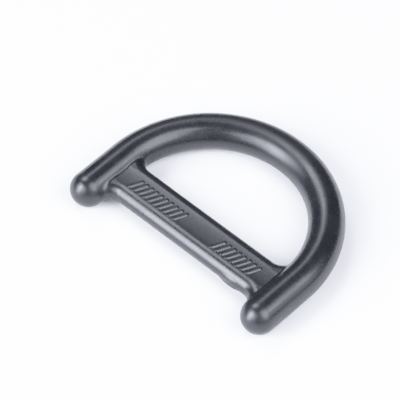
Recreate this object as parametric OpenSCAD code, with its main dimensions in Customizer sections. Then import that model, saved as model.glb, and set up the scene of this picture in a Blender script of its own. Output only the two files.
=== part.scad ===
// A one-piece moulded D ring for webbing: a half-round bow, two short legs that end in balls, and a flat
// crossbar between the legs. It lies flat, the bow towards +Y, with the origin under the middle of it.

/* [Bow and legs] */
// Clear width between the legs: 25 mm webbing and a little play
clear_w = 26; // [20:0.1:52]
// Diameter of the round stock that the bow, the legs and the balls are made of
stock_d = 5; // [4:0.1:8]
// Straight length of a leg, from the end of the half circle to the centre of its ball
leg_l = 7.2; // [6.4:0.1:12]

/* [Crossbar] */
// Width of the crossbar, from its front edge to its back edge
bar_w = 6.1; // [4.5:0.1:8]
// Thickness of the crossbar, whose two long edges are half rounds of this diameter
bar_t = 3; // [2:0.1:3.4]
// How far the balls stand out in front of the crossbar
ear_l = 3.85; // [3:0.05:6]
// Radius of the two inside corners in front, between the crossbar and the ears
front_corner_r = 1.7; // [0.6:0.1:2.4]
// Radius of the two inside corners of the D opening, between the crossbar and the legs
back_corner_r = 1.7; // [0.6:0.1:2.4]

/* [Grip ribs] */
// Width of one rib
rib_w = 0.42; // [0.2:0.02:0.6]
// Length of one rib along its slant
rib_l = 2.2; // [1:0.1:4]
// Height of the ribs over the face of the crossbar
rib_h = 0.2; // [0.05:0.01:0.4]
// Distance from one rib to the next
rib_pitch = 0.9; // [0.7:0.02:2]
// Slant of the ribs from square across the crossbar, in degrees
rib_slant = 24; // [0:1:35]
// Distance from the front edge of the crossbar to the middle of the ribs
rib_from_front = 2.7; // [2:0.1:4]
// Bare stretch between the left leg and the left group of ribs
left_gap = 2; // [1.6:0.1:6]
// Bare stretch between the right leg and the right group of ribs
right_gap = 1.8; // [1.6:0.1:6]
// Where the bare middle of the crossbar begins, left of the centre line
bare_left = 2; // [0:0.1:4]
// Where the bare middle of the crossbar ends, right of the centre line
bare_right = 3.9; // [0:0.1:6]

/* [Gate mark] */
// Length of the stub where the moulding was cut from its runner
gate_l = 4.2; // [1:0.1:5]
// Height of that stub
gate_h = 1.6; // [0.5:0.1:2]
// How far the stub stands out of the crossbar's front edge
gate_proud = 0.15; // [0.05:0.01:0.3]
// Radius of the stub's bowed front face, seen from above
gate_bow_r = 5.3; // [4:0.1:12]
// Distance from the right leg to the middle of the stub
gate_from_leg = 4.2; // [3.8:0.1:8]

/* [Hidden] */
$fn = 96;
stock_r = stock_d / 2;
bow_r = clear_w / 2 + stock_r;
nose_r = bar_t / 2;
whole_l = stock_r + leg_l + bow_r + stock_r;
ball_y = stock_r - whole_l / 2;
bow_y = ball_y + leg_l;
front_y = ear_l - whole_l / 2;
back_y = front_y + bar_w;
face_z = stock_r + nose_r;
// The side of a leg leaves the crossbar's face this far out from the leg's innermost line
face_in = stock_r - sqrt(pow(stock_r, 2) - pow(nose_r, 2));
// The corners end this far inside the leg, so that no two round faces only touch
seat = 0.06;
// Parts that join reach this far into each other
lap = 0.4;
// A front corner may reach this far past the middle of a ball, beyond which it would stand out of it
past_ball = 0.35;
front_r = max(0.6, min(front_corner_r, ear_l - stock_r + past_ball));

module bow() {
    translate([0, bow_y, stock_r])
        rotate_extrude(angle = 180)
            translate([bow_r, 0])
                circle(r = stock_r);
}

// One leg with its ball, turned as a rod with a round end
module leg() {
    translate([bow_r, bow_y, stock_r])
        rotate([90, 0, 0])
            rotate_extrude()
                union() {
                    square([stock_r, leg_l]);
                    intersection() {
                        translate([0, leg_l]) circle(r = stock_r);
                        translate([0, leg_l]) square(stock_r);
                    }
                }
}

// The flat middle of the crossbar, which runs into both legs
module bar_core() {
    translate([-bow_r, front_y + nose_r, face_z - bar_t])
        cube([2 * bow_r, bar_w - bar_t, bar_t]);
}

// Half of one half-round long edge, from the middle of the crossbar to the inside corner, and round that
// corner into the leg. The corner opens to the back where out_y is 1 and to the front where it is -1.
module bar_edge(edge_y, corner_r, out_y) {
    half_l = clear_w / 2 + seat - corner_r;
    reach = norm([corner_r + face_in, corner_r + nose_r]) + lap - nose_r - corner_r;
    translate([half_l, edge_y + out_y * corner_r, stock_r])
        mirror([0, out_y > 0 ? 0 : 1, 0])
            rotate([0, 0, -90]) {
                rotate([90, 0, 0])
                    linear_extrude(half_l)
                        translate([corner_r + nose_r, 0]) circle(r = nose_r);
                rotate_extrude(angle = 90)
                    translate([corner_r + nose_r, 0])
                        union() {
                            circle(r = nose_r);
                            translate([0, -nose_r]) square([reach, bar_t]);
                        }
            }
}

// Plain slanted ribs on the crossbar's face, as many as fit from x0 to x1
module ribs(x0, x1) {
    n = floor((x1 - x0) / rib_pitch);
    first = (x0 + x1) / 2 - (n - 1) * rib_pitch / 2;
    for (k = [0 : 1 : n - 1])
        translate([first + k * rib_pitch, front_y + rib_from_front, face_z - lap])
            rotate([0, 0, -rib_slant])
                translate([-rib_w / 2, -rib_l / 2, 0])
                    cube([rib_w, rib_l, lap + rib_h]);
}

// The stub swells out of the front edge in the middle of its length and fades into it at the ends
module gate_stub() {
    translate([clear_w / 2 - gate_from_leg, front_y - gate_proud, stock_r - gate_h / 2])
        intersection() {
            translate([0, gate_bow_r, 0]) cylinder(r = gate_bow_r, h = gate_h);
            translate([-gate_l / 2, 0, 0]) cube([gate_l, gate_proud + lap, gate_h]);
        }
}

module crossbar() {
    bar_core();
    for (side = [0, 1])
        mirror([side, 0, 0]) {
            bar_edge(front_y, front_r, -1);
            bar_edge(back_y, back_corner_r, 1);
        }
    ribs(left_gap - clear_w / 2, -bare_left);
    ribs(bare_right, clear_w / 2 - right_gap);
    gate_stub();
}

module d_ring() {
    color("#2c2e33")
        union() {
            bow();
            leg();
            mirror([1, 0, 0]) leg();
            crossbar();
        }
}

d_ring();
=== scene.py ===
import math

import bmesh
import bpy
import numpy as np
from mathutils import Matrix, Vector


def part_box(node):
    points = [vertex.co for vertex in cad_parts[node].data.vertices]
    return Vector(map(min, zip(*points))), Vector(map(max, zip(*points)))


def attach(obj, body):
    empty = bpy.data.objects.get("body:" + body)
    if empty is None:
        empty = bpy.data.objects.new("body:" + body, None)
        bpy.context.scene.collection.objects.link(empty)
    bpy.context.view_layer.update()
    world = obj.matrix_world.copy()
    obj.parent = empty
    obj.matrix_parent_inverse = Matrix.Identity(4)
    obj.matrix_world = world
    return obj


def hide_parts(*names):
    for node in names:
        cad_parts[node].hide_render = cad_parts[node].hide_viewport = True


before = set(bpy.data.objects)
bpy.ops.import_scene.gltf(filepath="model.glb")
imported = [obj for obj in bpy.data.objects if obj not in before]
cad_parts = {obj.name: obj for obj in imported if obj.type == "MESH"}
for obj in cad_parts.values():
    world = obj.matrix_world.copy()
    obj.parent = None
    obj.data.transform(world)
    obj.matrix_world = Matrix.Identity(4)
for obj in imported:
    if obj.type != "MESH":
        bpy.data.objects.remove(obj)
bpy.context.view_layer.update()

# The camera stands far away, upright, and looks down on the ring at the photograph's angle.
# Its lens is a long one, so the ring shows almost no perspective.
MM = 0.001
camera_azimuth, camera_elevation = math.radians(43.27), math.radians(50.93)
camera_distance = 413.1 * MM
camera_target = Vector((-4.65, -1.11, 0.05)) * MM
toward_camera = Vector((math.sin(camera_azimuth) * math.cos(camera_elevation),
                        -math.cos(camera_azimuth) * math.cos(camera_elevation),
                        math.sin(camera_elevation)))
camera = bpy.data.objects.new("camera", bpy.data.cameras.new("camera"))
camera.data.sensor_width = 36
camera.data.lens = 276.8
camera.data.clip_start, camera.data.clip_end = 0.01, 10
camera.location = camera_target + toward_camera * camera_distance
camera.rotation_euler = toward_camera.to_track_quat("Z", "Y").to_euler()
bpy.context.scene.collection.objects.link(camera)
bpy.context.scene.camera = camera


# Round stock: the half-circle bow, the two straight legs and their ball ends.
# They are one run of round black acetal, moulded to this shape in one shot with the crossbar.
# All shapes of the moulding are written as distances in millimetres, below 0 inside the plastic.
low, high = (np.array(corner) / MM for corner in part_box("d_ring"))
stock_r = (high[2] - low[2]) / 2
bow_r = (high[0] - low[0]) / 2 - stock_r
bow_y = high[1] - stock_r - bow_r
ball_y = low[1] + stock_r


def round_stock(x, y, z):
    from_bend = np.hypot(x, np.maximum(y - bow_y, 0)) - bow_r
    past_ball = np.minimum(y - ball_y, 0)
    return np.sqrt(from_bend ** 2 + past_ball ** 2 + (z - stock_r) ** 2) - stock_r


# Crossbar: a flat web between the legs, 3 mm thick, whose long edges are full half rounds.
# Its four inside corners are hollow fillets, and both faces have sunk a little as the plastic cooled.
bar_w, bar_t, corner_r = 6.1, 3.0, 1.7
ear_l = 3.85
sink = 0.08
leg_side = bow_r - stock_r
front_y = low[1] + ear_l
bar_y = front_y + bar_w / 2


def hollow_corner(a, b, r):
    """Joins two shapes, given as distances, with a hollow round of radius r between them."""
    return np.maximum(r, np.minimum(a, b)) - np.hypot(np.maximum(r - a, 0), np.maximum(r - b, 0))


def crossbar(x, y, z):
    across = np.abs(y - bar_y)
    outline = hollow_corner(across - bar_w / 2, leg_side - np.abs(x), corner_r)
    outline = np.maximum(outline, np.maximum(np.abs(x) - bow_r, across - bar_w / 2 - corner_r))
    nose_r = bar_t / 2
    sunk = sink * np.clip(1 - (across / (bar_w / 2 - nose_r)) ** 2, 0, 1)
    return np.hypot(np.maximum(outline + nose_r, 0), z - stock_r) - nose_r + sunk


# Grip ribs: two groups of plain slanted ribs on the crossbar's upper face, with a bare stretch between.
# The mould has a shallow groove for each one, with sloping walls, and their edges and feet are softened.
rib_w, rib_l, rib_h, rib_pitch = 0.42, 2.2, 0.15, 0.9
rib_slant = math.radians(24)
rib_wall, rib_ease = 0.2, 0.12
left_gap, right_gap, bare_left, bare_right = 2, 1.8, 2, 3.9
rib_groups = ((left_gap - leg_side, -bare_left), (bare_right, leg_side - right_gap))
rib_from_front = 2.7
rib_y = front_y + rib_from_front


def grip_ribs(x, y, z):
    """How far the upper face is raised by the rib nearest to each point."""
    along = y - rib_y
    height = np.zeros_like(x)
    for start, end in rib_groups:
        count = math.floor((end - start) / rib_pitch)
        first = (start + end) / 2 - (count - 1) * rib_pitch / 2
        nearest = np.round((x - along * math.tan(rib_slant) - first) / rib_pitch)
        from_rib = x - first - np.clip(nearest, 0, count - 1) * rib_pitch
        across_rib = from_rib * math.cos(rib_slant) - along * math.sin(rib_slant)
        along_rib = from_rib * math.sin(rib_slant) + along * math.cos(rib_slant)
        past_end = np.maximum(np.abs(along_rib) - (rib_l - rib_w) / 2, 0)
        inside = rib_w / 2 - np.hypot(across_rib, past_end)
        climb = inside / rib_wall + 0.5
        climb = (1 + np.hypot(climb, rib_ease) - np.hypot(climb - 1, rib_ease)) / 2
        height = np.maximum(height, rib_h * climb)
    return np.where(z > stock_r, height, 0)


# Gate mark: a low swelling on the front edge, left where the moulding was cut from its runner.
# Its face bows out in the middle and fades into the edge at both ends, and its upper side is bevelled.
gate_h, gate_proud, gate_bow_r = 1.6, 0.15, 5.3
gate_round, gate_foot_r = 0.25, 0.15
bevel_from, bevel_angle = 0.2, math.radians(32)
gate_from_leg, gate_depth = 4.2, 1
gate_x = leg_side - gate_from_leg
gate_y = front_y - gate_proud


def gate_mark(x, y, z):
    face = np.hypot(x - gate_x, y - gate_y - gate_bow_r) - gate_bow_r
    bevel = face * math.cos(bevel_angle) + (z - stock_r - bevel_from) * math.sin(bevel_angle)
    front = np.maximum(face, bevel)
    sides = gate_round + np.stack([front, np.abs(z - stock_r) - gate_h / 2, y - gate_y - gate_depth])
    return np.linalg.norm(np.maximum(sides, 0), axis=0) + np.minimum(sides.max(axis=0), 0) - gate_round


# The moulding: everything above fused into one skin, with the small rounds that a mould leaves.
# The frame's solid is remeshed into even quads, and each point then moves onto the true skin.
fuse_r = 0.2
quad_size = 0.22 * MM


def moulding(points):
    x, y, z = points.T
    body = hollow_corner(round_stock(x, y, z), crossbar(x, y, z), fuse_r) - grip_ribs(x, y, z)
    return hollow_corner(body, gate_mark(x, y, z), gate_foot_r)


def outward(points):
    """The direction in which the distance to the moulding grows, at each point."""
    step = 0.002
    slopes = [moulding(points + step * axis) - moulding(points - step * axis) for axis in np.eye(3)]
    return np.stack(slopes, 1) / (2 * step)


def evened(points, edges):
    """Moves each point to the middle of its neighbours, so the quads keep one size."""
    total, count = np.zeros_like(points), np.zeros(len(points))
    for a, b in ((edges[:, 0], edges[:, 1]), (edges[:, 1], edges[:, 0])):
        np.add.at(total, a, points[b])
        np.add.at(count, a, 1)
    return total / count[:, None]


def on_skin(points):
    for _ in range(4):
        slope = outward(points)
        points = points - slope * (moulding(points) / (slope ** 2).sum(1))[:, None]
    return points


rough_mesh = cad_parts["d_ring"].data.copy()
ring = bpy.data.objects.new("moulded_ring", rough_mesh)
bpy.context.scene.collection.objects.link(ring)
remesh = ring.modifiers.new("even quads", "REMESH")
remesh.mode = "VOXEL"
remesh.voxel_size = quad_size
ring.data = bpy.data.meshes.new_from_object(ring.evaluated_get(bpy.context.evaluated_depsgraph_get()))
ring.modifiers.clear()

mesh = ring.data


def lay_on_skin(rounds):
    """Moves the mesh's points onto the skin and evens them out along it, then gives back the points."""
    points = np.empty(len(mesh.vertices) * 3)
    mesh.vertices.foreach_get("co", points)
    points = on_skin(points.reshape(-1, 3) / MM)
    edges = np.empty(len(mesh.edges) * 2, int)
    mesh.edges.foreach_get("vertices", edges)
    for _ in range(rounds):
        points = on_skin(evened(points, edges.reshape(-1, 2)))
    mesh.vertices.foreach_set("co", (points * MM).ravel())
    return points


# The ribs, the gate mark and the joins get quads of a quarter of the size, so that their small rounds hold.
# Each of these places is taken with a little of the plain skin round it.
past_group, past_rib_ends, under_face = 0.7, 0.2, 0.2
gate_half_l, behind_gate, past_gate = 2, 0.6, 0.25
face_z = stock_r + bar_t / 2
lay_on_skin(3)
centres = np.empty(len(mesh.polygons) * 3)
mesh.polygons.foreach_get("center", centres)
x, y, z = centres.reshape(-1, 3).T / MM
in_group = np.any([(x > start - past_group) & (x < end + past_group) for start, end in rib_groups], axis=0)
on_ribs = in_group & (z > face_z - under_face) & (np.abs(y - rib_y) < rib_l / 2 + past_rib_ends)
at_gate = (np.abs(x - gate_x) < gate_half_l) & (y < gate_y + behind_gate)
at_gate &= np.abs(z - stock_r) < gate_h / 2 + past_gate
at_join = np.maximum(np.abs(round_stock(x, y, z)), np.abs(crossbar(x, y, z))) < 2 * fuse_r
fine = bmesh.new()
fine.from_mesh(mesh)
fine.faces.ensure_lookup_table()
fine.edges.ensure_lookup_table()
fine_faces = np.flatnonzero(on_ribs | at_gate | at_join)
numbers = sorted({edge.index for index in fine_faces for edge in fine.faces[index].edges})
bmesh.ops.subdivide_edges(fine, edges=[fine.edges[n] for n in numbers], cuts=3, use_grid_fill=True)
fine.to_mesh(mesh)
fine.free()
points = lay_on_skin(2)
mesh.polygons.foreach_set("use_smooth", np.ones(len(mesh.polygons), bool))
skin_normals = outward(points)
skin_normals /= np.linalg.norm(skin_normals, axis=1)[:, None]
mesh.normals_split_custom_set_from_vertices(skin_normals)
mesh.update()


# Plastic: black acetal from a satin mould, with a fine grain and a slightly uneven gloss.
# On the highest, rounded sides it has been rubbed a little smoother in patches. The balls and the middle
# of the bow, where a hook slides, have been scuffed a little duller.
black_acetal = bpy.data.materials.new("black_acetal")
black_acetal.use_nodes = True
nodes, links = black_acetal.node_tree.nodes, black_acetal.node_tree.links
shader = nodes["Principled BSDF"]
shader.inputs["IOR"].default_value = 1.53
place = nodes.new("ShaderNodeTexCoord").outputs["Object"]
deep_black, soft_black = (0.0084, 0.0089, 0.0108, 1), (0.0115, 0.0119, 0.0143, 1)
rub_from, rub_full = 3.9 * MM, 4.7 * MM
scuff_end, scuff_full = 9 * MM, 3 * MM
ball_from, ball_full = -10.5 * MM, -11.5 * MM
bow_from, bow_full = 7 * MM, 10 * MM
satin_low, satin_high, speckle = 0.255, 0.315, 0.025
smoother, duller, duller_balls = 0.07, 0.09, 0.05
cloud_size, speck_size, patch_size, tint_size = 2.5, 0.3, 3.2, 1.2
grain_size, grain_height = 0.32, 0.002 * MM


def spread(value, from_low, from_high, low, high):
    """Maps a value from one range to another and keeps it in there."""
    node = nodes.new("ShaderNodeMapRange")
    node.inputs["From Min"].default_value, node.inputs["From Max"].default_value = from_low, from_high
    node.inputs["To Min"].default_value, node.inputs["To Max"].default_value = low, high
    links.new(value, node.inputs["Value"])
    return node.outputs["Result"]


def mottle(size, detail, low, high):
    """Noise with features of the given size in millimetres, over the range from low to high."""
    noise = nodes.new("ShaderNodeTexNoise")
    noise.inputs["Scale"].default_value = 1 / (size * MM)
    noise.inputs["Detail"].default_value = detail
    links.new(place, noise.inputs["Vector"])
    return spread(noise.outputs["Fac"], 0.3, 0.7, low, high)


def combined(operation, a, b):
    """The sum, difference or product of two values, as the operation says."""
    node = nodes.new("ShaderNodeMath")
    node.operation = operation
    links.new(a, node.inputs[0])
    links.new(b, node.inputs[1])
    return node.outputs["Value"]


apart = nodes.new("ShaderNodeSeparateXYZ")
links.new(place, apart.inputs["Vector"])
across, along, up = (apart.outputs[axis] for axis in "XYZ")
raised = spread(up, rub_from, rub_full, 0, 1)
rubbed = combined("MULTIPLY", raised, mottle(patch_size, 2, -0.3, 1))
from_left = spread(across, -scuff_end, -scuff_full, 0, 1)
from_right = spread(across, scuff_end, scuff_full, 0, 1)
on_bow = spread(along, bow_from, bow_full, 0, 1)
scuffed = combined("MULTIPLY", combined("MULTIPLY", from_left, from_right), on_bow)
clouds, specks = mottle(cloud_size, 2, satin_low, satin_high), mottle(speck_size, 1, -speckle, speckle)
gloss = combined("ADD", clouds, specks)
gloss = combined("SUBTRACT", gloss, spread(rubbed, 0, 1, 0, smoother))
gloss = combined("ADD", gloss, spread(scuffed, 0, 1, 0, duller))
gloss = combined("ADD", gloss, spread(along, ball_from, ball_full, 0, duller_balls))
links.new(gloss, shader.inputs["Roughness"])

tint = nodes.new("ShaderNodeMix")
tint.data_type = "RGBA"
tint.inputs["A"].default_value = deep_black
tint.inputs["B"].default_value = soft_black
links.new(mottle(tint_size, 3, 0, 1), tint.inputs["Factor"])
links.new(tint.outputs["Result"], shader.inputs["Base Color"])

grain = nodes.new("ShaderNodeBump")
grain.inputs["Distance"].default_value = grain_height
links.new(mottle(grain_size, 2, 0, 1), grain.inputs["Height"])
links.new(grain.outputs["Normal"], shader.inputs["Normal"])
mesh.materials.clear()
mesh.materials.append(black_acetal)
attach(ring, "root")
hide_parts("d_ring")


# The studio: a white table under soft boxes, as in a small product photograph.
# Each box is given by its place and size in degrees, as seen from the ring, and by its share of the light.
def soft_box(name, azimuth, elevation, wide, high, share, distance=0.6):
    """Boxes of one share light the ring equally, however large they are or far away they stand."""
    half_w, half_h = math.radians(wide / 2), math.radians(high / 2)
    light = bpy.data.lights.new(name, "AREA")
    light.shape = "RECTANGLE"
    light.size, light.size_y = 2 * distance * math.tan(half_w), 2 * distance * math.tan(half_h)
    solid_angle = 4 * math.asin(math.sin(half_w) * math.sin(half_h))
    light.energy = share * math.pi ** 2 * light.size * light.size_y / solid_angle
    light.color = (0.975, 1.0, 1.14)
    lamp = bpy.data.objects.new(name, light)
    a, e = math.radians(azimuth), math.radians(elevation)
    out = Vector((math.cos(a) * math.cos(e), math.sin(a) * math.cos(e), math.sin(e)))
    lamp.location = out * distance
    lamp.rotation_euler = out.to_track_quat("Z", "Y").to_euler()
    bpy.context.scene.collection.objects.link(lamp)


soft_box("soft_box_front", 252, 37, 57, 38, 1.43)
soft_box("soft_box_front_left", 247, 25, 19, 47, 1.46, distance=0.57)
soft_box("soft_box_right", 1, 50, 31, 49, 0.97)
soft_box("strip_right", 33, 49, 19, 30, 0.33)
soft_box("strip_back", 170, 59, 26, 20, 0.42)
soft_box("strip_back_low", 159, 49, 40, 15, 0.19, distance=0.63)
soft_box("faint_fill_back", 128, 24, 36, 16, 0.02)
soft_box("low_fill_right", 21, 28, 39, 36, 0.35, distance=0.63)
soft_box("low_fill_front", 339, 29, 51, 51, 0.28, distance=0.66)
soft_box("low_strip_front", 269, 12, 53, 21, 0.13, distance=0.63)

table = bpy.data.meshes.new("table")
half_table = 1.5
table.from_pydata([(-half_table, -half_table, 0), (half_table, -half_table, 0),
                   (half_table, half_table, 0), (-half_table, half_table, 0)], [], [(0, 1, 2, 3)])
table_top = bpy.data.objects.new("table_top", table)
bpy.context.scene.collection.objects.link(table_top)
white_board = bpy.data.materials.new("white_board")
white_board.use_nodes = True
board = white_board.node_tree.nodes["Principled BSDF"]
board.inputs["Base Color"].default_value = (0.88, 0.88, 0.88, 1)
board.inputs["Roughness"].default_value = 0.9
board.inputs["Specular IOR Level"].default_value = 0.1
table.materials.append(white_board)

world = bpy.data.worlds.new("studio")
world.use_nodes = True
world.node_tree.nodes["Background"].inputs["Color"].default_value = (0.01, 0.01, 0.01, 1)
world.node_tree.nodes["Background"].inputs["Strength"].default_value = 1.0
bpy.context.scene.world = world

# The tones roll off softly towards white, as in a photograph, so the faint shadows stay on the table.
view = bpy.context.scene.view_settings
view.view_transform = "Standard"
view.use_curve_mapping = True
brightest = 4.4
view.curve_mapping.white_level = (brightest, brightest, brightest)
shoulder = view.curve_mapping.curves[3]
for share in (0.01, 0.03, 0.06, 0.1, 0.15, 0.2, 0.3, 0.4, 0.55, 0.75):
    shoulder.points.new(share, 1 - (1 - share) ** brightest)
view.curve_mapping.update()
